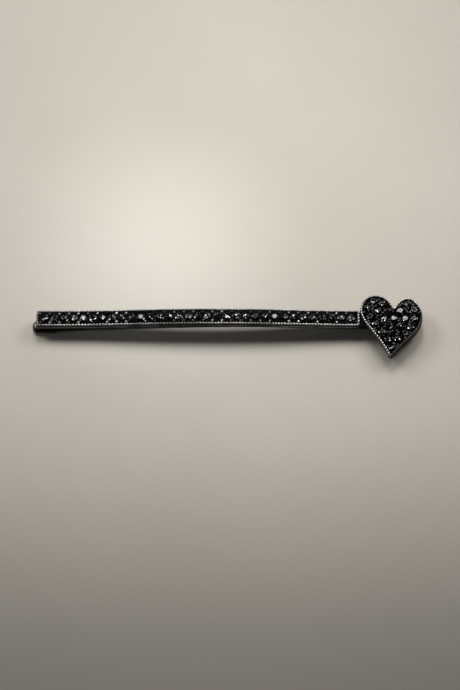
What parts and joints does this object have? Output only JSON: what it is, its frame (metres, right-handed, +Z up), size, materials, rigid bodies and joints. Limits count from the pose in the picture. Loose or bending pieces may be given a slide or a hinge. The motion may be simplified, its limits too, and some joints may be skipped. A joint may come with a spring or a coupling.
{
  "type": "hair clip",
  "caption": "Sprung hair grip under a slim beaded bar set with a row of black faceted stones, ending in a stone-paved heart; its black-tipped lower arm opens.",
  "frame": {"origin": "centre of the clip's box in plan, on the table that the clip lies on", "axes": "+X along the bar from the dipped tip to the heart, +Y across the bar on the side of the heart's lobes, +Z up from the table towards the stones"},
  "size_m": [0.08, 0.0132, 0.0053],
  "materials": {
    "gunmetal_plating": "polished",
    "blackened_spring_steel": "satin",
    "dipped_polymer": "gloss",
    "black_crystal": "polished"
  },
  "bodies": {
    "grip": {"bar_setting": "gunmetal_plating", "heart_setting": "gunmetal_plating", "upper_arm_and_fold": "blackened_spring_steel", "bar_stone_01": "black_crystal", "bar_stone_02": "black_crystal", "bar_stone_03": "black_crystal", "bar_stone_04": "black_crystal", "bar_stone_05": "black_crystal", "bar_stone_06": "black_crystal", "bar_stone_07": "black_crystal", "bar_stone_08": "black_crystal", "bar_stone_09": "black_crystal", "bar_stone_10": "black_crystal", "bar_stone_11": "black_crystal", "bar_stone_12": "black_crystal", "bar_stone_13": "black_crystal", "bar_stone_14": "black_crystal", "bar_stone_15": "black_crystal", "bar_stone_16": "black_crystal", "bar_stone_17": "black_crystal", "bar_stone_18": "black_crystal", "bar_stone_19": "black_crystal", "bar_stone_20": "black_crystal", "bar_stone_21": "black_crystal", "bar_stone_22": "black_crystal", "bar_stone_23": "black_crystal", "bar_stone_24": "black_crystal", "bar_stone_25": "black_crystal", "bar_stone_26": "black_crystal", "bar_stone_27": "black_crystal", "bar_stone_28": "black_crystal", "bar_stone_29": "black_crystal", "bar_stone_30": "black_crystal", "bar_stone_31": "black_crystal", "bar_stone_32": "black_crystal", "bar_stone_33": "black_crystal", "heart_stone_01": "black_crystal", "heart_stone_02": "black_crystal", "heart_stone_03": "black_crystal", "heart_stone_04": "black_crystal", "heart_stone_05": "black_crystal", "heart_stone_06": "black_crystal", "heart_stone_07": "black_crystal", "heart_stone_08": "black_crystal", "heart_stone_09": "black_crystal", "heart_stone_10": "black_crystal", "heart_stone_11": "black_crystal", "heart_stone_12": "black_crystal", "heart_stone_13": "black_crystal", "heart_stone_14": "black_crystal", "heart_stone_15": "black_crystal", "heart_stone_16": "black_crystal", "heart_stone_17": "black_crystal", "heart_stone_18": "black_crystal", "heart_stone_19": "black_crystal", "heart_stone_20": "black_crystal", "heart_stone_21": "black_crystal", "heart_point_stone": "black_crystal"},
    "opening_arm": {"lower_arm": "blackened_spring_steel", "dipped_tip": "dipped_polymer"}
  },
  "joints": [
    {"name": "arm_opening", "type": "hinge", "parent": "grip", "child": "opening_arm", "pos_m": [0.03395, 0.00161, 0.00025], "axis": [0, -1, 0], "range_deg": [0, 8], "stiffness_Nm_per_rad": 0.5, "springref_deg": -2.86}
  ]
}
